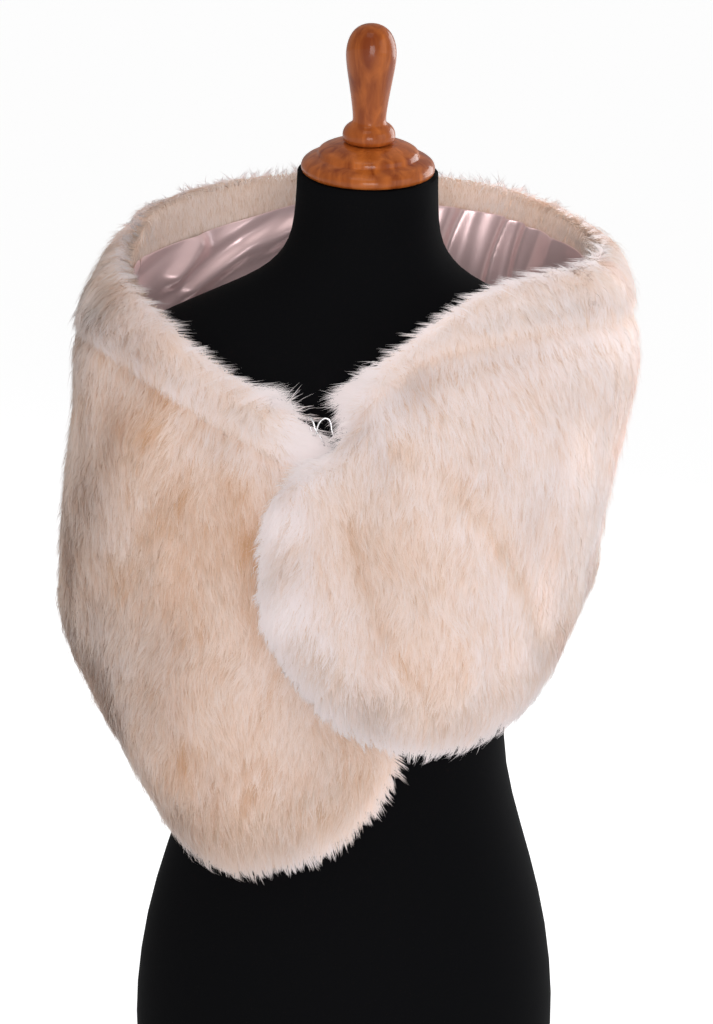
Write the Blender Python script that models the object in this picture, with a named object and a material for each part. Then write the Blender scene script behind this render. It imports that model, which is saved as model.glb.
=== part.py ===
"""Short fur cape with a collar strip and lapped round fronts, worn on a limbless dress form.

Metres, +Z up, the front faces -Y. Angles round the figure are in degrees from the front,
positive toward +X (the wearer's left). The form stands on its flat underside at z = 0.
"""

import math
from collections import namedtuple

import bmesh
import bpy
from mathutils import Matrix, Vector

for old in list(bpy.data.objects):
    bpy.data.objects.remove(old, do_unlink=True)

# Fur, lining and sewing sizes.
FUR_DEPTH = 0.024
PRESSED_DEPTH = 0.014
EDGE_DEPTH = 0.002
ROUND_EDGE = 0.020
ROUND_RIM = 0.013
ROUND_SEAM = 0.004
ROUND_SIDE = 0.005
SEAM_HALF_GAP = 0.00022
LINING_DEPTH = 0.0012
LINING_GAP = 0.0013
LINING_MARGIN = 0.012
LINING_FOLD = 0.0035
SEAT_GAP = 0.0016
SEAT_SOFT = 0.003
LAP_GAP = 0.0026
LINING_CLEAR = 0.012
SEAM_RADIUS = 0.180
STEEPEST_SLANT = 0.35

# The cape sits turned on the form, its closing off toward the wearer's right. Its own angles are
# counted from that closing.
CAPE_TURN = -14.0

# Where the pieces meet round the figure, in degrees.
SIDE_SEAM = 100.0
COLLAR_END_RIGHT = -5.0
COLLAR_END_LEFT = 7.0
LOW_LEVEL = 0.180

# Spans over which one state of the cloth passes softly into another.
Span = namedtuple("Span", "start finish")
LAP_TURN = Span(34.0, 62.0)
LAP_RISE = Span(0.505, 0.600)
PRESS_TURN = Span(-22.0, -10.0)
PRESS_RISE = Span(0.235, 0.285)
LINING_FREE_TURN = Span(36.0, 62.0)
RIGHT_JOIN_TURN = Span(-22.0, -10.0)
LEFT_JOIN_TURN = Span(8.0, 20.0)
FOLD_START = Span(-0.15, 0.2)
FOLD_FINISH = Span(0.8, 1.15)

# Columns and rows of the cloth's grids.
COLLAR_COLUMNS = 15
TIP_COLUMNS = 9
BACK_COLUMNS = 24
SIDE_COLUMN = 1.6
COLLAR_ROWS = 6
BODY_ROWS = 12
LINING_ROWS = 11
LINING_TIP_COLUMNS = 5

# Small steps for finding the way out of the cloth, in degrees and metres.
STEP_TURN = 0.4
STEP_UP = 0.001

# Rounded front ends: the tip, and the corners where its rounding starts.
FrontEnd = namedtuple("FrontEnd", "tip tip_z upper_corner lower_corner")
RIGHT_END = FrontEnd(29.0, 0.310, COLLAR_END_RIGHT, -24.0)
LEFT_END = FrontEnd(-12.5, 0.440, COLLAR_END_LEFT, 36.0)
TIP_SHARE = 0.999

# One row for each upright section of the cloth's inner face. The radii stand at these shares of the
# way from the neck edge down to LOW_LEVEL.
SHARES = (0.0, 0.1, 0.3, 0.55, 0.8, 1.0)
Section = namedtuple(
    "Section", "angle neck_z collar lining hem_z r_0 r_10 r_30 r_55 r_80 r_100"
)
SECTIONS = (
    Section(-150, 0.720, 0.074, 0.024, 0.388, 0.160, 0.158, 0.157, 0.159, 0.163, 0.166),
    Section(-120, 0.706, 0.082, 0.036, 0.384, 0.183, 0.186, 0.188, 0.192, 0.192, 0.190),
    Section(-105, 0.690, 0.082, 0.034, 0.380, 0.191, 0.200, 0.201, 0.206, 0.200, 0.194),
    Section(-90, 0.660, 0.069, 0.019, 0.372, 0.186, 0.204, 0.206, 0.213, 0.198, 0.186),
    Section(-60, 0.626, 0.050, 0.012, 0.290, 0.160, 0.190, 0.197, 0.193, 0.168, 0.152),
    Section(-30, 0.574, 0.044, 0.012, 0.187, 0.128, 0.145, 0.157, 0.156, 0.148, 0.142),
    Section(0, 0.550, 0.040, 0.012, 0.188, 0.118, 0.126, 0.134, 0.136, 0.135, 0.132),
    Section(30, 0.604, 0.032, 0.012, 0.293, 0.112, 0.129, 0.148, 0.150, 0.146, 0.140),
    Section(60, 0.645, 0.044, 0.012, 0.330, 0.124, 0.160, 0.176, 0.168, 0.162, 0.160),
    Section(90, 0.662, 0.050, 0.012, 0.385, 0.167, 0.189, 0.178, 0.154, 0.153, 0.154),
    Section(120, 0.685, 0.060, 0.018, 0.392, 0.178, 0.185, 0.179, 0.168, 0.165, 0.165),
    Section(150, 0.712, 0.070, 0.022, 0.394, 0.164, 0.161, 0.157, 0.156, 0.158, 0.160),
    Section(180, 0.721, 0.074, 0.024, 0.395, 0.149, 0.143, 0.138, 0.139, 0.142, 0.145),
)

# Hem heights of the two fronts from the side seam to the lower corner of the rounded end.
Hem = namedtuple("Hem", "angle z")
RIGHT_HEM = (
    Hem(-100, 0.382),
    Hem(-90, 0.372),
    Hem(-80, 0.355),
    Hem(-70, 0.328),
    Hem(-60, 0.290),
    Hem(-50, 0.249),
    Hem(-39, 0.214),
    Hem(-31, 0.204),
    Hem(-24, 0.197),
)
LEFT_HEM = (
    Hem(36, 0.303),
    Hem(44, 0.311),
    Hem(52, 0.320),
    Hem(60, 0.330),
    Hem(68, 0.343),
    Hem(76, 0.358),
    Hem(90, 0.381),
    Hem(100, 0.390),
)

# The largest folds of the fur: a trough (depth above zero) or a ridge (below zero) along a line.
Fold = namedtuple("Fold", "panel angle_a z_a angle_b z_b half_width depth")
FOLDS = (
    Fold("front_left", 38, 0.500, 64, 0.415, 0.022, 0.008),
    Fold("front_left", 64, 0.415, 76, 0.350, 0.020, 0.007),
    Fold("front_left", 24, 0.470, 48, 0.360, 0.034, -0.004),
    Fold("front_right", -106, 0.560, -62, 0.546, 0.026, 0.009),
    Fold("front_right", -48, 0.560, -62, 0.490, 0.022, 0.006),
    Fold("front_right", -46, 0.470, -52, 0.390, 0.026, 0.005),
    Fold("front_right", -30, 0.400, -34, 0.250, 0.034, -0.004),
    Fold("back", 146, 0.600, 142, 0.410, 0.032, 0.006),
    Fold("back", 178, 0.610, 182, 0.410, 0.036, -0.004),
    Fold("back", 214, 0.600, 220, 0.400, 0.032, 0.006),
)

# Folds of the lining, waves that run down the inside.
LINING_WAVES = 16
LINING_LEAN = 120.0

# One row for each level section of the dress form.
Level = namedtuple("Level", "z half_width front back")
LEVELS = (
    Level(0.000, 0.156, 0.107, 0.112),
    Level(0.006, 0.160, 0.110, 0.116),
    Level(0.040, 0.164, 0.112, 0.120),
    Level(0.080, 0.166, 0.112, 0.122),
    Level(0.140, 0.159, 0.106, 0.116),
    Level(0.195, 0.144, 0.098, 0.105),
    Level(0.245, 0.127, 0.090, 0.094),
    Level(0.290, 0.118, 0.086, 0.088),
    Level(0.335, 0.122, 0.093, 0.089),
    Level(0.385, 0.136, 0.112, 0.093),
    Level(0.430, 0.147, 0.124, 0.097),
    Level(0.460, 0.152, 0.127, 0.099),
    Level(0.500, 0.158, 0.122, 0.102),
    Level(0.540, 0.168, 0.112, 0.105),
    Level(0.572, 0.182, 0.102, 0.105),
    Level(0.588, 0.1882, 0.094, 0.103),
    Level(0.599, 0.1855, 0.087, 0.100),
    Level(0.609, 0.169, 0.080, 0.095),
    Level(0.620, 0.148, 0.073, 0.088),
    Level(0.631, 0.124, 0.066, 0.081),
    Level(0.646, 0.090, 0.059, 0.071),
    Level(0.656, 0.074, 0.056, 0.065),
    Level(0.668, 0.063, 0.054, 0.059),
    Level(0.682, 0.057, 0.052, 0.056),
    Level(0.704, 0.0550, 0.0515, 0.0540),
    Level(0.728, 0.0545, 0.0515, 0.0535),
)
FORM_SIDES = 48
NECK_TILT = 14.0
NECK_TOP = 0.728
NECK_LEAN = Span(0.650, NECK_TOP)
NECK_FORWARD = -0.004

# Turned wood on the neck: radius and height above the neck's top, from bottom to top.
Turn = namedtuple("Turn", "radius height")
WOOD_GAP = 0.0003
CAP_PROFILE = (
    Turn(0.0500, 0.0000),
    Turn(0.0515, 0.0012),
    Turn(0.0522, 0.0040),
    Turn(0.0516, 0.0072),
    Turn(0.0490, 0.0100),
    Turn(0.0430, 0.0128),
    Turn(0.0400, 0.0134),
    Turn(0.0392, 0.0142),
    Turn(0.0390, 0.0168),
    Turn(0.0372, 0.0186),
    Turn(0.0310, 0.0214),
    Turn(0.0240, 0.0234),
    Turn(0.0205, 0.0240),
)
FINIAL_PROFILE = (
    Turn(0.0182, 0.0243),
    Turn(0.0200, 0.0258),
    Turn(0.0206, 0.0288),
    Turn(0.0204, 0.0318),
    Turn(0.0191, 0.0350),
    Turn(0.0166, 0.0376),
    Turn(0.0138, 0.0390),
    Turn(0.0128, 0.0406),
    Turn(0.0129, 0.0460),
    Turn(0.0145, 0.0580),
    Turn(0.0163, 0.0690),
    Turn(0.0182, 0.0800),
    Turn(0.0194, 0.0890),
    Turn(0.0196, 0.0945),
    Turn(0.0188, 0.1010),
    Turn(0.0168, 0.1070),
    Turn(0.0136, 0.1118),
    Turn(0.0092, 0.1150),
    Turn(0.0045, 0.1165),
)
TURN_SIDES = 32
WOOD_TOP = 0.1169

# Bent wire of the hook and eye: angle and height of its bends, and how far out it stands.
WIRE_RADIUS = 0.00075
WIRE_SIDES = 2
BEND_STEPS = 3
Bend = namedtuple("Bend", "angle z radius")
EYE_BENDS = (
    Bend(-4.35, 0.5400, 0.1226),
    Bend(-4.2, 0.5458, 0.1285),
    Bend(-3.5, 0.5500, 0.1338),
    Bend(-2.2, 0.5514, 0.1366),
    Bend(-0.9, 0.5490, 0.1376),
    Bend(-0.1, 0.5430, 0.1376),
    Bend(1.2, 0.5385, 0.1366),
    Bend(2.4, 0.5325, 0.1352),
    Bend(2.7, 0.5280, 0.1335),
)
HOOK_BENDS = (
    Bend(-2.0, 0.5450, 0.1357),
    Bend(-1.5, 0.5405, 0.1357),
    Bend(-0.5, 0.5372, 0.1376),
    Bend(0.4, 0.5405, 0.1394),
    Bend(1.2, 0.5478, 0.1402),
    Bend(2.9, 0.5520, 0.1396),
    Bend(4.6, 0.5500, 0.1388),
    Bend(5.2, 0.5430, 0.1384),
    Bend(5.8, 0.5390, 0.1378),
    Bend(6.5, 0.5370, 0.1370),
)

FUR_COLOUR = (0.78, 0.66, 0.56)
SATIN_COLOUR = (0.72, 0.58, 0.54)
FORM_COLOUR = (0.010, 0.010, 0.011)
WOOD_COLOUR = (0.42, 0.14, 0.035)
WIRE_COLOUR = (0.80, 0.80, 0.80)
FUR_ROUGHNESS = 0.8
SATIN_ROUGHNESS = 0.35
FORM_ROUGHNESS = 0.85
WOOD_ROUGHNESS = 0.2
WIRE_ROUGHNESS = 0.3


def share(value, span):
    """Soft step from 0 at the span's start to 1 at its finish."""
    part = min(max((value - span.start) / (span.finish - span.start), 0.0), 1.0)
    return part * part * (3 - 2 * part)


def curve_value(places, values, place):
    """Smooth curve through the given values, straight on past the ends."""
    last = len(places) - 1
    i = 0
    while i < last - 1 and place > places[i + 1]:
        i += 1
    step = places[i + 1] - places[i]
    rise = (values[i + 1] - values[i]) / step

    def slope(k):
        if k == 0 or k == last:
            return rise
        before = places[k] - places[k - 1]
        after = places[k + 1] - places[k]
        left = (values[k] - values[k - 1]) / before
        right = (values[k + 1] - values[k]) / after
        return (left * after + right * before) / (before + after)

    if place < places[0]:
        return values[0] + rise * (place - places[0])
    if place > places[last]:
        return values[last] + rise * (place - places[last])
    u = (place - places[i]) / step
    start = slope(i) * step
    finish = slope(i + 1) * step
    return (
        values[i] * (2 * u**3 - 3 * u**2 + 1)
        + start * (u**3 - 2 * u**2 + u)
        + values[i + 1] * (3 * u**2 - 2 * u**3)
        + finish * (u**3 - u**2)
    )


# The sections repeat round the figure, so each column is laid out three times.
TURNS = (-360, 0, 360)
AROUND = {
    name: (
        [row.angle + turn for turn in TURNS for row in SECTIONS],
        [getattr(row, name) for turn in TURNS for row in SECTIONS],
    )
    for name in Section._fields[1:]
}
LEVEL_Z = [row.z for row in LEVELS]
LEVEL_COLUMNS = {name: [getattr(row, name) for row in LEVELS] for name in Level._fields[1:]}


def around(name, angle):
    places, values = AROUND[name]
    return curve_value(places, values, angle)


def form_sizes(z):
    return [curve_value(LEVEL_Z, LEVEL_COLUMNS[name], z) for name in Level._fields[1:]]


def form_radius(angle, z):
    """Radius of the dress form at an angle and height."""
    half_width, front, back = form_sizes(min(z, NECK_TOP))
    turn = math.radians(angle)
    depth = front if math.cos(turn) > 0 else back
    return 1 / math.hypot(math.sin(turn) / half_width, math.cos(turn) / depth)


def neck_edge(angle):
    return around("neck_z", angle)


def collar_seam(angle):
    return around("neck_z", angle) - around("collar", angle)


def lap_lift(angle, z):
    """How far the upper front stands out where it laps over the lower one."""
    raised = PRESSED_DEPTH + LINING_DEPTH + 2 * LINING_GAP + LAP_GAP
    return raised * (1 - share(angle, LAP_TURN)) * (1 - share(z, LAP_RISE))


def inner_radius(angle, z, lapped):
    """Radius of the cloth's inner face, which rests on the form where that is wider."""
    neck = neck_edge(angle)
    depth = (neck - z) / (neck - LOW_LEVEL)
    radii = [around(name, angle) for name in Section._fields[5:]]
    hung = curve_value(SHARES, radii, depth)
    seat = form_radius(angle + CAPE_TURN, z) + LINING_DEPTH + LINING_GAP + SEAT_GAP
    radius = 0.5 * (hung + seat + math.hypot(hung - seat, SEAT_SOFT))
    if lapped:
        radius += lap_lift(angle, z)
    return radius


def inner_point(angle, z, lapped):
    turn = math.radians(angle + CAPE_TURN)
    radius = inner_radius(angle, z, lapped)
    return Vector((radius * math.sin(turn), -radius * math.cos(turn), z))


def outward(angle, z, lapped):
    """Unit normal of the cloth's inner face, pointing away from the form."""
    before = inner_point(angle - STEP_TURN, z, lapped)
    after = inner_point(angle + STEP_TURN, z, lapped)
    below = inner_point(angle, z - STEP_UP, lapped)
    above = inner_point(angle, z + STEP_UP, lapped)
    return (after - before).cross(above - below).normalized()


def arc_height(angle, corner, tip, corner_z, tip_z):
    """Height on the quarter ellipse that rounds a front end."""
    part = min(max((angle - corner) / (tip - corner), 0.0), 1.0)
    return tip_z + (corner_z - tip_z) * math.sqrt(1 - part * part)


def hem_curve(rows, angle):
    return curve_value([row.angle for row in rows], [row.z for row in rows], angle)


def end_edge(end, corner, corner_z, angle):
    return arc_height(angle, corner, end.tip, corner_z, end.tip_z)


def right_hem(angle):
    if angle > RIGHT_END.lower_corner:
        return end_edge(RIGHT_END, RIGHT_END.lower_corner, RIGHT_HEM[-1].z, angle)
    return hem_curve(RIGHT_HEM, angle)


def left_hem(angle):
    if angle < LEFT_END.lower_corner:
        return end_edge(LEFT_END, LEFT_END.lower_corner, LEFT_HEM[0].z, angle)
    return hem_curve(LEFT_HEM, angle)


def body_top(angle):
    return collar_seam(angle) - SEAM_HALF_GAP


def right_top(angle):
    corner = RIGHT_END.upper_corner
    if angle > corner:
        return end_edge(RIGHT_END, corner, body_top(corner), angle)
    return body_top(angle)


def left_top(angle):
    corner = LEFT_END.upper_corner
    if angle < corner:
        return end_edge(LEFT_END, corner, body_top(corner), angle)
    return body_top(angle)


def back_hem(angle):
    return around("hem_z", angle)


def fold_depth(panel, angle, z, radius):
    """Depth of a panel's large folds at a place on the fur."""
    total = 0.0
    for fold in FOLDS:
        if fold.panel != panel:
            continue
        run_x = math.radians(fold.angle_b - fold.angle_a) * radius
        run_z = fold.z_b - fold.z_a
        turn = (angle - fold.angle_a + 180) % 360 - 180
        x = math.radians(turn) * radius
        rise = z - fold.z_a
        along = (x * run_x + rise * run_z) / (run_x**2 + run_z**2)
        away = abs(x * run_z - rise * run_x) / math.hypot(run_x, run_z)
        ends = share(along, FOLD_START) * (1 - share(along, FOLD_FINISH))
        total += fold.depth * ends * math.exp(-((away / fold.half_width) ** 2))
    return total


def roundness(distance, reach):
    """Share of full depth at a distance from an edge, a quarter circle."""
    part = min(max(distance / reach, 0.0), 1.0)
    return math.sqrt(1 - (1 - part) ** 2)


def right_depth(angle, z):
    """The lower front is pressed thin where the other front lies on it."""
    pressed = share(angle, PRESS_TURN) * share(z, PRESS_RISE)
    return FUR_DEPTH + (PRESSED_DEPTH - FUR_DEPTH) * pressed


def plain_depth(angle, z):
    return FUR_DEPTH


def upper_spread(i, count):
    return (i / count) ** 1.5


def seamed_angles(start, finish, count):
    """Even angles, with one more column close to a side seam at the start."""
    angles = [start + (finish - start) * i / count for i in range(count + 1)]
    near_seam = math.copysign(SIDE_COLUMN, finish - start)
    return angles[:1] + [start + near_seam] + angles[1:]


def tip_angles(start, finish, count):
    """Angles that crowd toward a rounded tip, without the start itself."""
    turns = [math.sin(0.5 * math.pi * (i + 1) / count) for i in range(count)]
    return [start + (finish - start) * turn for turn in turns]


def edge_spread(i, count):
    return 0.5 - 0.5 * math.cos(math.pi * i / count)


def make_object(name, bm, colour, roughness):
    bmesh.ops.recalc_face_normals(bm, faces=bm.faces)
    if bm.calc_volume(signed=True) < 0:
        bmesh.ops.reverse_faces(bm, faces=bm.faces)
    mesh = bpy.data.meshes.new(name)
    bm.to_mesh(mesh)
    bm.free()
    made = bpy.data.objects.new(name, mesh)
    bpy.context.collection.objects.link(made)
    give_material(made, colour, roughness)
    return made


def give_material(made, colour, roughness):
    material = bpy.data.materials.new(made.name)
    material.use_nodes = True
    shader = material.node_tree.nodes["Principled BSDF"]
    shader.inputs["Base Color"].default_value = (*colour, 1)
    shader.inputs["Roughness"].default_value = roughness
    made.data.materials.append(material)


Wall = namedtuple("Wall", "name angles top bottom lapped rows")


def wall_grid(wall):
    """A flat grid pulled into two layers, each point marked by its shares across and down."""
    bm = bmesh.new()
    columns = len(wall.angles) - 1
    bmesh.ops.create_grid(bm, x_segments=columns, y_segments=wall.rows, size=0.5)
    inner = list(bm.verts)
    made = bmesh.ops.extrude_face_region(bm, geom=list(bm.faces))
    outer = [item for item in made["geom"] if isinstance(item, bmesh.types.BMVert)]
    return bm, inner, outer


def grid_place(wall, flat, row_spread):
    """Angle and height on the wall of a point of the flat grid."""
    column = round((flat.x + 0.5) * (len(wall.angles) - 1))
    row = round((flat.y + 0.5) * wall.rows)
    down = row_spread(row, wall.rows)
    angle = wall.angles[column]
    top = wall.top(angle)
    bottom = wall.bottom(angle)
    return angle, top + (bottom - top) * down, top, bottom


def fur_panel(wall, depth_rule, top_reach, bottom_reach, start_reach, finish_reach):
    """A thick fur wall: its skin on the drape, its pile outward, rounded at cut edges."""
    bm, inner, outer = wall_grid(wall)
    far = set(outer)
    for vert in outer + inner:
        angle, z, top, bottom = grid_place(wall, vert.co, edge_spread)
        base = inner_point(angle, z, wall.lapped)
        place = base
        if vert in far:
            normal = outward(angle, z, wall.lapped)
            radius = inner_radius(angle, z, wall.lapped)
            slant = 1 / max(math.hypot(normal.x, normal.y), STEEPEST_SLANT)
            from_start = math.radians(abs(angle - wall.angles[0])) * radius
            from_finish = math.radians(abs(wall.angles[-1] - angle)) * radius
            fullness = min(
                roundness((top - z) * slant, top_reach),
                roundness((z - bottom) * slant, bottom_reach),
                roundness(from_start, start_reach),
                roundness(from_finish, finish_reach),
            )
            full = depth_rule(angle, z) - fold_depth(wall.name, angle, z, radius)
            place = base + normal * (EDGE_DEPTH + (full - EDGE_DEPTH) * fullness)
        vert.co = place
    make_object(wall.name, bm, FUR_COLOUR, FUR_ROUGHNESS)


def lining_panel(wall):
    """Satin wall just inside the fur, with soft folds that stand in toward the form."""
    bm, inner, outer = wall_grid(wall)
    far = set(outer)
    for vert in outer + inner:
        angle, z, top, bottom = grid_place(wall, vert.co, upper_spread)
        turn = math.radians(angle * LINING_WAVES + LINING_LEAN * z)
        gap = inner_radius(angle, z, wall.lapped) - form_radius(angle + CAPE_TURN, z)
        room = min(max(gap - LINING_CLEAR, 0.0), LINING_FOLD)
        if wall.lapped:
            room *= share(angle, LINING_FREE_TURN)
        fold = room * (0.5 + 0.5 * math.sin(turn))
        inset = LINING_GAP + fold
        if vert in far:
            inset += LINING_DEPTH
        vert.co = inner_point(angle, z, wall.lapped) - outward(angle, z, wall.lapped) * inset
    make_object(wall.name, bm, SATIN_COLOUR, SATIN_ROUGHNESS)


def end_angle(end, corner):
    return corner + TIP_SHARE * (end.tip - corner)


def collar_lower(angle):
    return collar_seam(angle) + SEAM_HALF_GAP


# Half of a seam's gap as an angle.
SEAM_TURN = math.degrees(SEAM_HALF_GAP / SEAM_RADIUS)
RIGHT_SIDE = -SIDE_SEAM + SEAM_TURN
LEFT_SIDE = SIDE_SEAM - SEAM_TURN
RIGHT_TIP = end_angle(RIGHT_END, RIGHT_END.lower_corner)
LEFT_TIP = end_angle(LEFT_END, LEFT_END.lower_corner)
RIGHT_ANGLES = seamed_angles(RIGHT_SIDE, COLLAR_END_RIGHT, COLLAR_COLUMNS)
LEFT_ANGLES = seamed_angles(LEFT_SIDE, COLLAR_END_LEFT, COLLAR_COLUMNS)
BACK_FINISH = 360 - SIDE_SEAM - SEAM_TURN
BACK_ANGLES = seamed_angles(SIDE_SEAM + SEAM_TURN, BACK_FINISH, BACK_COLUMNS)
BACK_ANGLES.insert(-1, BACK_FINISH - SIDE_COLUMN)
RIGHT_FRONT_ANGLES = RIGHT_ANGLES + tip_angles(COLLAR_END_RIGHT, RIGHT_TIP, TIP_COLUMNS)
LEFT_FRONT_ANGLES = LEFT_ANGLES + tip_angles(COLLAR_END_LEFT, LEFT_TIP, TIP_COLUMNS)

Fur = namedtuple("Fur", "wall depth_rule top_reach bottom_reach start_reach finish_reach")
FURS = (
    Fur(
        Wall("collar_right", RIGHT_ANGLES, neck_edge, collar_lower, False, COLLAR_ROWS),
        plain_depth,
        ROUND_RIM,
        ROUND_SEAM,
        ROUND_SIDE,
        ROUND_EDGE,
    ),
    Fur(
        Wall("collar_back", BACK_ANGLES, neck_edge, collar_lower, False, COLLAR_ROWS),
        plain_depth,
        ROUND_RIM,
        ROUND_SEAM,
        ROUND_SIDE,
        ROUND_SIDE,
    ),
    Fur(
        Wall("collar_left", LEFT_ANGLES, neck_edge, collar_lower, True, COLLAR_ROWS),
        plain_depth,
        ROUND_RIM,
        ROUND_SEAM,
        ROUND_SIDE,
        ROUND_EDGE,
    ),
    Fur(
        Wall("front_right", RIGHT_FRONT_ANGLES, right_top, right_hem, False, BODY_ROWS),
        right_depth,
        ROUND_SEAM,
        ROUND_EDGE,
        ROUND_SIDE,
        ROUND_EDGE,
    ),
    Fur(
        Wall("back", BACK_ANGLES, body_top, back_hem, False, BODY_ROWS),
        plain_depth,
        ROUND_SEAM,
        ROUND_EDGE,
        ROUND_SIDE,
        ROUND_SIDE,
    ),
    Fur(
        Wall("front_left", LEFT_FRONT_ANGLES, left_top, left_hem, True, BODY_ROWS),
        plain_depth,
        ROUND_SEAM,
        ROUND_EDGE,
        ROUND_SIDE,
        ROUND_EDGE,
    ),
)


def lining_right_top(angle):
    joined = share(angle, RIGHT_JOIN_TURN)
    top = neck_edge(angle) * (1 - joined) + right_top(angle) * joined
    return top - around("lining", angle)


def lining_right_hem(angle):
    return right_hem(angle) + LINING_MARGIN


def lining_left_top(angle):
    joined = 1 - share(angle, LEFT_JOIN_TURN)
    top = neck_edge(angle) * (1 - joined) + left_top(angle) * joined
    return top - around("lining", angle)


def lining_left_hem(angle):
    return left_hem(angle) + LINING_MARGIN


def lining_back_top(angle):
    return neck_edge(angle) - around("lining", angle)


def lining_back_hem(angle):
    return back_hem(angle) + LINING_MARGIN


# The lining shares the fur's columns and stops short of the rounded tips.
RIGHT_LINING_ANGLES = RIGHT_FRONT_ANGLES[: len(RIGHT_ANGLES) + LINING_TIP_COLUMNS]
LEFT_LINING_ANGLES = LEFT_FRONT_ANGLES[: len(LEFT_ANGLES) + LINING_TIP_COLUMNS]
LININGS = (
    Wall(
        "lining_right",
        RIGHT_LINING_ANGLES,
        lining_right_top,
        lining_right_hem,
        False,
        LINING_ROWS,
    ),
    Wall("lining_back", BACK_ANGLES, lining_back_top, lining_back_hem, False, LINING_ROWS),
    Wall("lining_left", LEFT_LINING_ANGLES, lining_left_top, lining_left_hem, True, LINING_ROWS),
)


def build_form():
    """Torso and neck lofted ring by ring from the base, the neck's top tipped forward."""
    bm = bmesh.new()
    bmesh.ops.create_circle(bm, cap_ends=False, segments=FORM_SIDES, radius=1)
    ring = list(bm.edges)
    loops = [list(bm.verts)]
    for _ in LEVELS[1:]:
        made = bmesh.ops.extrude_edge_only(bm, edges=ring)
        fresh = {item for item in made["geom"] if isinstance(item, bmesh.types.BMVert)}
        edges = [item for item in made["geom"] if isinstance(item, bmesh.types.BMEdge)]
        ring = [edge for edge in edges if fresh.issuperset(edge.verts)]
        loops.append(fresh)
    tilt = math.tan(math.radians(NECK_TILT))
    for level, verts in zip(LEVELS, loops):
        tip = share(level.z, NECK_LEAN)
        for vert in verts:
            depth = level.front if vert.co.y < 0 else level.back
            y = vert.co.y * depth
            z = level.z + tip * tilt * y
            vert.co = Vector((vert.co.x * level.half_width, y + tip * NECK_FORWARD, z))
    bmesh.ops.holes_fill(bm, edges=bm.edges)
    make_object("form_torso", bm, FORM_COLOUR, FORM_ROUGHNESS)


def build_turned(name, profile, top_height):
    """Wood turned round the neck's own leaning axis."""
    bm = bmesh.new()
    points = [Vector((0, 0, profile[0].height))]
    points += [Vector((turn.radius, 0, turn.height)) for turn in profile]
    points.append(Vector((0, 0, top_height)))
    verts = [bm.verts.new(point) for point in points]
    edges = [bm.edges.new(pair) for pair in zip(verts, verts[1:])]
    bmesh.ops.spin(
        bm,
        geom=verts + edges,
        cent=(0, 0, 0),
        axis=(0, 0, 1),
        angle=math.tau,
        steps=TURN_SIDES,
        use_merge=True,
    )
    bmesh.ops.remove_doubles(bm, verts=bm.verts, dist=0.00005)
    lean = Matrix.Rotation(math.radians(NECK_TILT), 4, "X")
    raise_up = Matrix.Translation((0, NECK_FORWARD, NECK_TOP + WOOD_GAP))
    bm.transform(raise_up @ lean)
    make_object(name, bm, WOOD_COLOUR, WOOD_ROUGHNESS)


def build_wire(name, bends):
    """Round wire bent through the given places."""
    path = bpy.data.curves.new(name, "CURVE")
    path.dimensions = "3D"
    path.bevel_depth = WIRE_RADIUS
    path.bevel_resolution = WIRE_SIDES
    path.use_fill_caps = True
    spline = path.splines.new("POLY")
    marks = list(range(len(bends)))
    count = BEND_STEPS * (len(bends) - 1) + 1
    spline.points.add(count - 1)
    for i in range(count):
        place = i / BEND_STEPS
        turn = math.radians(curve_value(marks, [bend.angle for bend in bends], place) + CAPE_TURN)
        z = curve_value(marks, [bend.z for bend in bends], place)
        radius = curve_value(marks, [bend.radius for bend in bends], place)
        spline.points[i].co = (radius * math.sin(turn), -radius * math.cos(turn), z, 1)
    made = bpy.data.objects.new(name, path)
    bpy.context.collection.objects.link(made)
    give_material(made, WIRE_COLOUR, WIRE_ROUGHNESS)


build_form()
build_turned("neck_cap", CAP_PROFILE, CAP_PROFILE[-1].height)
build_turned("cap_finial", FINIAL_PROFILE, WOOD_TOP)
for fur in FURS:
    fur_panel(*fur)
for wall in LININGS:
    lining_panel(wall)
build_wire("clasp_eye", EYE_BENDS)
build_wire("clasp_hook", HOOK_BENDS)
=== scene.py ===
# %% [markdown]
# # A short fur cape on a dress form
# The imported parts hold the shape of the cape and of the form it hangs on. This lesson gives them
# their looks: black jersey, lacquered wood, satin, and a long cream pile grown hair by hair.

import math
from collections import namedtuple
from types import SimpleNamespace

import bmesh
import bpy
import numpy as np
from mathutils import Matrix, Vector
from mathutils.bvhtree import BVHTree
from mathutils.kdtree import KDTree


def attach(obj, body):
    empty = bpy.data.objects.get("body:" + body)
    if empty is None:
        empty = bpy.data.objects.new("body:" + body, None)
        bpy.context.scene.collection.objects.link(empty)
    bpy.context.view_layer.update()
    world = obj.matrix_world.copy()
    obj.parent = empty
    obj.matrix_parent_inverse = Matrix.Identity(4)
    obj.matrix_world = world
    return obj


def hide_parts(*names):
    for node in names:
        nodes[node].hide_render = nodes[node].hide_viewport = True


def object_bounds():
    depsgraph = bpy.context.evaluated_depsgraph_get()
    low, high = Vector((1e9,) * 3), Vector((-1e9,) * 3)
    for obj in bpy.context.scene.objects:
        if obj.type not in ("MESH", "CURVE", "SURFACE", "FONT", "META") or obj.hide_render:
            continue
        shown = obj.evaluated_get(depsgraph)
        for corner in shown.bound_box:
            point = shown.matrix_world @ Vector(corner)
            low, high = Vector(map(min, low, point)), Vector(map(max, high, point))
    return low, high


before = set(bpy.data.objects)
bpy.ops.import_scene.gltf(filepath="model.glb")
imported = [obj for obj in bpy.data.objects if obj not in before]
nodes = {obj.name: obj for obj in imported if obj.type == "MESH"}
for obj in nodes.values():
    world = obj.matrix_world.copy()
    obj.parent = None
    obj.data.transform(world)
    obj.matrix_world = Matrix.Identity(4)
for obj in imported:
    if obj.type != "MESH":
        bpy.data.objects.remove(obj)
packed_box = [np.array(corner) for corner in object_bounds()]
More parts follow.
